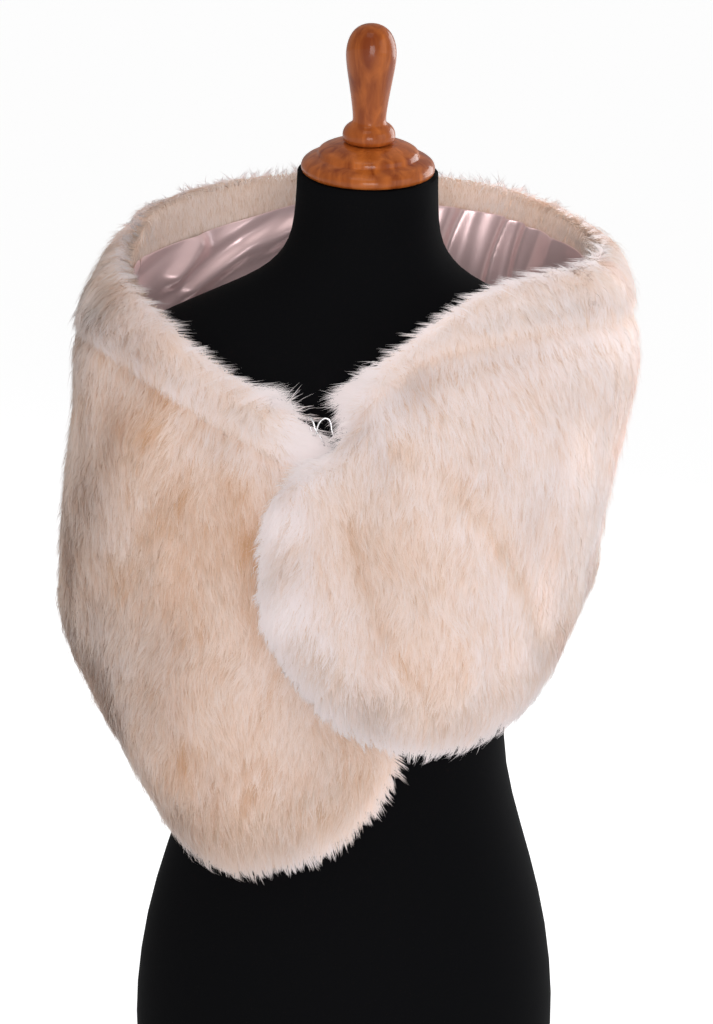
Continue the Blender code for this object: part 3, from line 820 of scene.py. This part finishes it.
def planted(panel, seed):
    """The pile of one panel before it is combed: where hairs end and how the fur lies there."""
    rng = np.random.default_rng(seed)
    surface = surfaces[panel.node]
    faces = np.flatnonzero(surface.outer)
    count = round(surface.area[faces].sum() * PER_CM2 * panel.density)
    points, _ = spread_over(surface, faces, count, rng)
    points = thickened(panel.node, points, rng)
    if panel.node == "front_right":
        normal = fields[panel.group].at(points)[0]
        hidden = covered(points, normal, surfaces["front_left"].tree)
        points = points[~hidden | (rng.random(len(points)) < HIDDEN_SHARE)]
    pile = SimpleNamespace(panel=panel, rng=rng, surface=surface, points=points)
    pile.normal, pile.inward, pile.rim, pile.dip = fields[panel.group].at(points)
    _, pile.own_inward, pile.own_rim, _ = own_fields[panel.node].at(points)
    pile.seam = np.clip(pile.own_rim - pile.rim, 0, 1)
    pile.tuft, pile.centres = tufts(points, rng)
    pile.count = len(points)
    pile.tufts = len(pile.centres)
    return pile


print("tufts of about", CLUMP_HAIRS, "hairs")

# %% [markdown]
# ## Combing
# Each hair's way starts straight down along the fur. It turns at partings, drifts from place to place,
# differs a little from tuft to tuft and from hair to hair, and turns out over free edges.

# %% Ways of the hair
Drift = namedtuple("Drift", "amount size seed")
TURN_DRIFTS = (Drift(math.radians(30), 0.045, 11), Drift(math.radians(17), 0.014, 12))
TUFT_TURN = math.radians(9)
HAIR_TURN = math.radians(7)
RIM_TURN = 1.7
LEAST_LEAN = 0.2
DRIFT_MARGIN = 0.05
DOWN = np.array((0, 0, -1.0))


def drifting(points, size, seed):
    """Soft random values from -1 to 1 that change over the given length."""
    origin = packed_box[0] - DRIFT_MARGIN
    shape = np.ceil((packed_box[1] + DRIFT_MARGIN - origin) / size).astype(int) + 2
    grid = np.random.default_rng(seed).uniform(-1, 1, (*shape, 1))
    place = (points - origin) / size
    low = np.floor(place)
    part = place - low
    return sampled(grid, low + part * part * (3 - 2 * part))[:, 0]


def drifted(drift, points):
    return drift.amount * drifting(points, drift.size, drift.seed)


def turned(ways, axes, angles):
    """Ways turned about axes square to them."""
    return ways * np.cos(angles)[:, None] + np.cross(axes, ways) * np.sin(angles)[:, None]


def downward(normal):
    """The way straight down along a surface."""
    return unit(DOWN - normal * (normal @ DOWN)[:, None])


def comb(pile):
    """Sets the way of each hair and how far it leans over."""
    rng, points, normal = pile.rng, pile.points, pile.normal
    turn, pile.tan, pile.tilt = parted(pile.panel.node, points)
    for drift in TURN_DRIFTS:
        turn += drifted(drift, points)
    turn += rng.normal(0, TUFT_TURN, pile.tufts)[pile.tuft]
    turn += rng.normal(0, HAIR_TURN, pile.count)
    flow = turned(downward(normal), normal, turn)
    flow = flow - unit(pile.inward) * (RIM_TURN * pile.rim**1.5)[:, None]
    flow -= normal * (flow * normal).sum(axis=1)[:, None]
    pile.lean = np.clip(np.linalg.norm(flow, axis=1), LEAST_LEAN, 1)
    pile.flow = unit(flow)


print("hair turns up to", round(math.degrees(sum(d.amount for d in TURN_DRIFTS))), "degrees by drift")

# %% [markdown]
# ## Roots
# From its end a hair runs back against its way and down into the pile. A hair that would start outside
# the fur is drawn in and stands more upright, which shows tan roots along the collar seam.

# %% Roots of the hair
HAIR = 0.025
LENGTH_SPREAD = 0.10
ROOT_SHARE = 0.45
DRAWN_IN = (0.5, 0.35, 0.0)
INSIDE_REACH = 0.03


def inside(group, points):
    """Places inside any panel of a group."""
    result = np.zeros(len(points), bool)
    for name in GROUPS[group]:
        tree = surfaces[name].tree
        for i in np.flatnonzero(~result):
            point = Vector(points[i])
            near, normal, _, _ = tree.find_nearest(point, INSIDE_REACH)
            result[i] = near is not None and (point - near).dot(normal) < 0
    return result


def set_roots(pile):
    """Runs each hair back to its root inside the fur."""
    rng, points, flow, normal = pile.rng, pile.points, pile.flow, pile.normal
    depth = pile_depth(pile.surface, points, normal)
    long = HAIR * rng.normal(1, LENGTH_SPREAD, pile.count)
    long = long * rng.normal(1, LENGTH_SPREAD, pile.tufts)[pile.tuft]
    sink = np.minimum(ROOT_SHARE * depth, ROOT_SHARE * long)
    run = np.sqrt(np.maximum(long**2 - sink**2, TINY)) * pile.lean
    root = points - flow * run[:, None] - normal * sink[:, None]
    out = np.arange(pile.count)
    for shorter in DRAWN_IN:
        out = out[~inside(pile.panel.group, root[out])]
        run[out] *= shorter
        root[out] = points[out] - flow[out] * run[out, None] - normal[out] * sink[out, None]
    pile.root = root


print("hair", HAIR * 1000, "mm long")

# %% [markdown]
# ## Ends
# The ends leave the panel's even surface. They reach past hems and necklines by tufts, which makes
# those edges ragged, cross the seams, stand up a little at rims, gather in tufts and stray in wisps. A
# few longer guard hairs rise above the rest.

# %% Ends of the hair
Edge = namedtuple("Edge", "least more seam_over inner_density")
HEM = Edge(-0.002, 0.015, 0, 15)
EDGES = {"collar": Edge(0.003, 0.011, 0.007, 50), "front": HEM, "back": HEM}
LOOSE = 0.003
REACH_SHARES = (0.4, 1)
LEAST_HAIR = 0.012
LACK_SHARE = 0.6
SUNK = 0.0025
RIM_LIFT = 0.0055
TUFT_LIFT = 0.0025
GUARD_SHARE = 0.08
GUARD_LIFT = (0.001, 0.005)
LIFT_DRIFT = Drift(0.0014, 0.022, 31)
DEEPEST_DIP = 0.012
TUFT_PULL = (0.08, 0.34)
RIM_GATHER = 0.3
SIDE_OVER = 0.009
BOW = 0.15
MIDDLE_GATHER = 0.3


def edge_of(panel):
    return EDGES[panel.node.split("_")[0]]


def uneven(pile):
    """A share from 0 to 1 for each hair's tuft, most often small."""
    return (pile.rng.random(pile.tufts) ** 2)[pile.tuft]


def set_ends(pile):
    """Sets each hair's end, and its middle on a bow between root and end."""
    rng, points, count = pile.rng, pile.points, pile.count
    edge = edge_of(pile.panel)
    past = pile.own_rim * np.maximum(-(pile.flow * unit(pile.own_inward)).sum(axis=1), 0)
    over = edge.least + edge.more * uneven(pile) + edge.seam_over * pile.seam
    reach = rng.uniform(0, LOOSE, count) + over * past * rng.uniform(*REACH_SHARES, count)
    lack = np.maximum(LEAST_HAIR - np.linalg.norm(points - pile.root, axis=1), 0)
    lift = -rng.uniform(0, SUNK, count) + LACK_SHARE * lack
    lift += (RIM_LIFT * pile.rim**2 + TUFT_LIFT) * uneven(pile)
    guard = rng.random(count) < GUARD_SHARE
    lift += guard * rng.uniform(*GUARD_LIFT, count)
    lift += drifted(LIFT_DRIFT, points) + pile.seam * np.clip(pile.dip, 0, DEEPEST_DIP)
    reach = reach + LACK_SHARE * lack
    tip = points + pile.flow * reach[:, None] + pile.normal * lift[:, None]
    pull = rng.uniform(*TUFT_PULL, pile.tufts)[pile.tuft] + RIM_GATHER * pile.rim
    gather = (pile.centres[pile.tuft] - points) * pull[:, None]
    stray, pile.strength = wispy(pile.panel.node, points, rng)
    sideways, pile.beside = side_seam(pile.own_inward - pile.inward)
    across = pile.beside * rng.uniform(0, SIDE_OVER, count)
    pile.tip = tip + (gather + stray - sideways * across[:, None])
    bow = BOW * np.linalg.norm(pile.tip - pile.root, axis=1)
    pile.middle = (pile.root + pile.tip) / 2 + pile.normal * bow[:, None] + MIDDLE_GATHER * gather


print(round(GUARD_SHARE * 100), "of 100 hairs are guard hairs")

# %% [markdown]
# ## Warmth and light
# Warmth is the hair's place between white and tan. It drifts, streaks, rises beneath the collar seam
# and falls at rims, and it blends over the side seams. The normals that light a hair lean with soft
# waves, so the pile shows a gentle relief. Rims are lit like the fur inside them, and wisps face front.

# %% Warmth and light of the hair
WARM_DRIFTS = (Drift(0.13, 0.05, 21), Drift(0.07, 0.012, 22))
TUFT_WARM = 0.05
HAIR_WARM = 0.06
SIDE_WARM = 0.30
SIDE_SPAN = 1.3
STREAK = 0.55
STREAK_RARE = 0.42
STREAK_SIZE = 0.005
STREAK_SEED = 41
STREAK_WAYS = (1, 1, 0.2)
RIM_PALE = 0.42
WISP_PALE = 0.35
SEAM_LOOK = 0.03
SEAM_TAN_REACH = 0.010
RELIEF = 0.32
RELIEF_SIZE = 0.03
RELIEF_SEED = 61
RELIEF_WAYS = (1, 1, 0.6)
RIM_FACING = 1.0
WISP_FACING = np.array((0.2, -1.0, 0.4))


def to_collar(panel, points):
    """How far each place is from the nearest collar strip."""
    strips = [surfaces[name].tree for name in GROUPS[panel.group] if name.startswith("collar")]
    return np.array(
        [
            min(tree.find_nearest(point, SEAM_LOOK)[3] or SEAM_LOOK for tree in strips)
            for point in points.tolist()
        ]
    )


def set_warmth(pile):
    """Sets the warmth of each hair's colour."""
    panel, rng, points = pile.panel, pile.rng, pile.points
    side = np.clip(SIDE_SPAN * pile.beside, 0, 1)
    warmth = panel.warm + pile.tan + (SIDE_WARM - panel.warm) * side
    for drift in WARM_DRIFTS:
        warmth += drifted(drift, points)
    warmth += rng.normal(0, TUFT_WARM, pile.tufts)[pile.tuft]
    warmth += rng.normal(0, HAIR_WARM, pile.count)
    streak = drifting(points * STREAK_WAYS, STREAK_SIZE, STREAK_SEED)
    warmth += STREAK * np.clip(streak - STREAK_RARE, 0, 1)
    warmth -= RIM_PALE * pile.rim**0.6 + WISP_PALE * pile.strength
    if panel.seam_tan:
        near = to_collar(panel, points) / SEAM_TAN_REACH
        warmth += panel.seam_tan * np.exp(-(near**2))
    pile.warmth = warmth


def light_normals(pile):
    """The normals that a pile's hairs are lit by."""
    places = pile.points * RELIEF_WAYS
    relief = [drifting(places, RELIEF_SIZE, RELIEF_SEED + axis) for axis in range(3)]
    facing = pile.normal + pile.tilt + RELIEF * np.stack(relief, axis=1)
    facing += RIM_FACING * pile.rim[:, None] * unit(pile.inward)
    return unit(facing + pile.strength[:, None] * WISP_FACING)


print("warmth drifts by", sum(d.amount for d in WARM_DRIFTS))

# %% [markdown]
# ## Hair inside the edges
# The fur is turned in above the lining, so short hair also covers the inside of the collar and a
# narrow strip inside the hems. It lies flatter and is paler at its roots.

# %% Turned-in hair
Hairs = namedtuple("Hairs", "root middle tip facing warmth pale")
INNER_RIM = {"collar_right": 0.65, "collar_left": 0.65, "collar_back": 1.1}
HEM_RIM = 0.4
LINED = 0.0065
INNER_HAIR = 0.013
INNER_SHARES = (0.75, 1.15)
INNER_TURN = math.radians(14)
INNER_ROOT = 0.0003
INNER_STAND = (0.15, 0.32)
INNER_RUN = 0.85
INNER_BOW = 0.12
INNER_WARM = 0.40
INNER_DRIFT = Drift(0.13, 0.03, 23)
INNER_SPREAD = 0.07
INNER_PALE = 0.6

lining_trees = []
for lining in LININGS:
    cloth = nodes[lining.node].data
    lining_trees.append(BVHTree.FromPolygons(points_of(cloth).tolist(), triangles_of(cloth).tolist()))


def turned_in(panel, rng):
    """Short hair on the inside of the edges, where the fur is turned in above the lining."""
    surface = surfaces[panel.node]
    bare = ~surface.outer & (surface.area > 0)
    for i in np.flatnonzero(bare):
        place = surface.middle[i].tolist()
        bare[i] = all(tree.find_nearest(place, LINED)[0] is None for tree in lining_trees)
    faces = np.flatnonzero(bare)
    count = round(surface.area[faces].sum() * PER_CM2 * edge_of(panel).inner_density)
    points, chosen = spread_over(surface, faces, count, rng)
    kept = fields[panel.group].at(points)[2] < INNER_RIM.get(panel.node, HEM_RIM)
    points, normal = points[kept], surface.facing[chosen[kept]]
    count = len(points)
    flow = unit(turned(downward(normal), normal, rng.normal(0, INNER_TURN, count)))
    long = INNER_HAIR * rng.uniform(*INNER_SHARES, count)
    root = points - normal * INNER_ROOT
    stand = long * rng.uniform(*INNER_STAND, count)
    tip = points + flow * (INNER_RUN * long)[:, None] + normal * stand[:, None]
    middle = (root + tip) / 2 + normal * (INNER_BOW * long)[:, None]
    warmth = INNER_WARM + drifted(INNER_DRIFT, points) + rng.normal(0, INNER_SPREAD, count)
    return Hairs(root, middle, tip, normal, warmth, np.full(count, INNER_PALE))


print(len(lining_trees), "linings keep the inner hair away")

# %% [markdown]
# ## One hair
# Blender can grow hair curves, but a model that travels to other programs needs faces. So a hair is a
# narrow blade of a square and a triangle. Its shading normals are borrowed from the fur's surface, so
# the pile takes light as one soft body. Its place on the colour map holds its warmth across and the way
# from root to end upward, so one small map colours every hair.

# %% Hair blades
BLADE_POINTS = 5
BLADE_CORNERS = 7
TWIST = 0.35
SLIM = 0.85
BLADE_SHARE = 0.12
NORMAL_SPREAD = 0.07
ROOT_V = 0.02
MID_V = 0.5
TIP_V = 0.98
MAP_HALF = 0.006


def colour_places(hairs):
    """Places of each blade's corners on the colour map; pale roots start further up, less tan."""
    low = np.clip(hairs.warmth, 0.01, 0.99) - MAP_HALF
    high = low + 2 * MAP_HALF
    across = np.stack([low, high, high, low, low, high, (low + high) / 2], axis=1)
    start = ROOT_V + (MID_V - ROOT_V) * hairs.pale
    half_way = (start + TIP_V) / 2
    upward = np.stack([start, start, *[half_way] * 4, np.full(len(low), TIP_V)], axis=1)
    return np.stack([across, upward], axis=2)


def blades(name, hairs, width, rng):
    """One mesh of many hairs."""
    root, middle, tip = hairs.root, hairs.middle, hairs.tip
    count = len(root)
    run = unit(tip - root)
    side = unit(np.cross(run, hairs.facing))
    side = unit(turned(side, run, rng.normal(0, TWIST, count)))
    half = side * (width / 2)[:, None]
    slim = half * SLIM
    points = np.stack([root - half, root + half, middle + slim, middle - slim, tip], axis=1)
    mesh = bpy.data.meshes.new(name)
    mesh.vertices.add(count * BLADE_POINTS)
    mesh.vertices.foreach_set("co", points.astype(np.float32).ravel())
    first = np.arange(count)[:, None] * BLADE_POINTS
    corners = np.concatenate([first + (0, 1, 2, 3), first + (3, 2, 4)], axis=1)
    mesh.loops.add(count * BLADE_CORNERS)
    mesh.loops.foreach_set("vertex_index", corners.astype(np.int32).ravel())
    mesh.polygons.add(count * 2)
    starts = np.arange(count)[:, None] * BLADE_CORNERS + (0, 4)
    mesh.polygons.foreach_set("loop_start", starts.astype(np.int32).ravel())
    mesh.polygons.foreach_set("use_smooth", np.ones(count * 2, bool))
    mesh.update(calc_edges=True)
    colour_map = mesh.uv_layers.new(name="OFBake")
    colour_map.uv.foreach_set("vector", colour_places(hairs).astype(np.float32).ravel())
    own = unit(np.cross(side, run))
    soft = hairs.facing * (1 - BLADE_SHARE) + own * BLADE_SHARE
    soft = unit(soft + rng.normal(0, NORMAL_SPREAD, (count, 3)))
    mesh.normals_split_custom_set_from_vertices(np.repeat(soft, BLADE_POINTS, axis=0).tolist())
    return mesh


print("a blade has", BLADE_POINTS, "points")

# %% [markdown]
# ## Colour of the hair
# Each hair is tanner at its root and paler toward its end. Warm hairs keep more of the tan, cool ones
# are nearly white with a breath of pink. Two colour ramps read the warmth, one for roots and one for
# ends, and the way along the hair blends them.

# %% Fur material
PALE_END = (0.05, (0.92, 0.84, 0.83))
CREAM_END = (0.48, (0.90, 0.745, 0.655))
TAN_END = (0.95, (0.70, 0.43, 0.26))
PALE_ROOT = (0.05, (0.84, 0.68, 0.58))
TAN_ROOT = (0.95, (0.62, 0.38, 0.21))
ROOT_BLEND = (0.15, 0.75)

fur = principled(
    "cream_fur",
    (0.85, 0.72, 0.60),
    0.62,
    Specular_IOR_Level=0.2,
    Sheen_Weight=0.12,
    Sheen_Roughness=0.5,
)
made, links, shader = nodes_and_links(fur)
spot = made.new("ShaderNodeUVMap")
spot.uv_map = "OFBake"
apart = made.new("ShaderNodeSeparateXYZ")
ends = made.new("ShaderNodeValToRGB")
toned(ends.color_ramp, PALE_END, TAN_END, CREAM_END)
roots = made.new("ShaderNodeValToRGB")
toned(roots.color_ramp, PALE_ROOT, TAN_ROOT)
length = made.new("ShaderNodeMapRange")
length.interpolation_type = "SMOOTHSTEP"
length.inputs["From Min"].default_value, length.inputs["From Max"].default_value = ROOT_BLEND
blend = made.new("ShaderNodeMix")
blend.data_type = "RGBA"
links.new(spot.outputs["UV"], apart.inputs["Vector"])
links.new(apart.outputs["X"], ends.inputs["Fac"])
links.new(apart.outputs["X"], roots.inputs["Fac"])
links.new(apart.outputs["Y"], length.inputs["Value"])
links.new(length.outputs["Result"], blend.inputs["Factor"])
links.new(roots.outputs["Color"], blend.inputs["A"])
links.new(ends.outputs["Color"], blend.inputs["B"])
links.new(blend.outputs["Result"], shader.inputs["Base Color"])
print("fur has", len(ends.color_ramp.elements), "tones at its ends")

# %% [markdown]
# ## Grow every panel
# The steps now run for each panel. A panel with very many hairs is split into an upper and a lower
# piece, so that no piece grows too heavy. The hairs cast no shadow of their own: blades are wider than
# real hairs and would darken the pile, which is soft and lets light through.

# %% Pile of each panel
HAIR_WIDTH = 0.00042
WIDTH_SHARES = (0.7, 1.3)
MOST_HAIRS = 60000
FIRST_SEED = 100


def grow(panel, seed):
    """All hair of one panel, as one piece or two."""
    pile = planted(panel, seed)
    comb(pile)
    set_roots(pile)
    set_ends(pile)
    set_warmth(pile)
    pale = np.clip(pile.rim + pile.strength, 0, 1)
    outer = Hairs(pile.root, pile.middle, pile.tip, light_normals(pile), pile.warmth, pale)
    inner = turned_in(panel, pile.rng)
    hairs = Hairs(*[np.concatenate(pair) for pair in zip(outer, inner)])
    width = HAIR_WIDTH * pile.rng.uniform(*WIDTH_SHARES, len(hairs.root))
    parts = math.ceil(len(hairs.root) / MOST_HAIRS)
    downward_order = np.argsort(-hairs.root[:, 2], kind="stable")
    pieces = []
    for k, chosen in enumerate(np.array_split(downward_order, parts)):
        name = "pile_" + panel.node + ("" if parts == 1 else "_" + "ab"[k])
        some = Hairs(*[column[chosen] for column in hairs])
        piece = shown_piece(name, blades(name, some, width[chosen], pile.rng), fur, "fur")
        piece.visible_shadow = False
        pieces.append(piece)
        print(name, len(chosen), "hairs")
    return pieces


for k, panel in enumerate(PANELS):
    piles = grow(panel, FIRST_SEED + k)

# %% [markdown]
# ## Hook and eye
# Two bright bent wires meet in the gap between the collar's ends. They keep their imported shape, made
# round and smooth.

# %% Clasp wires
steel = principled("bright_wire", (0.86, 0.86, 0.87), 0.25, Metallic=0.8)
for node in ("clasp_eye", "clasp_hook"):
    mesh = rounded(merged_copy(node), "wire_" + node[6:], 1)
    shown_piece(mesh.name, mesh, steel, "clasp_wire", node)
    print(mesh.name, len(mesh.polygons), "faces")

# %% [markdown]
# ## Tidying up
# The helper meshes of the hair ends' surfaces are removed.

# %% Finish
for surface in surfaces.values():
    bpy.data.meshes.remove(surface.mesh)
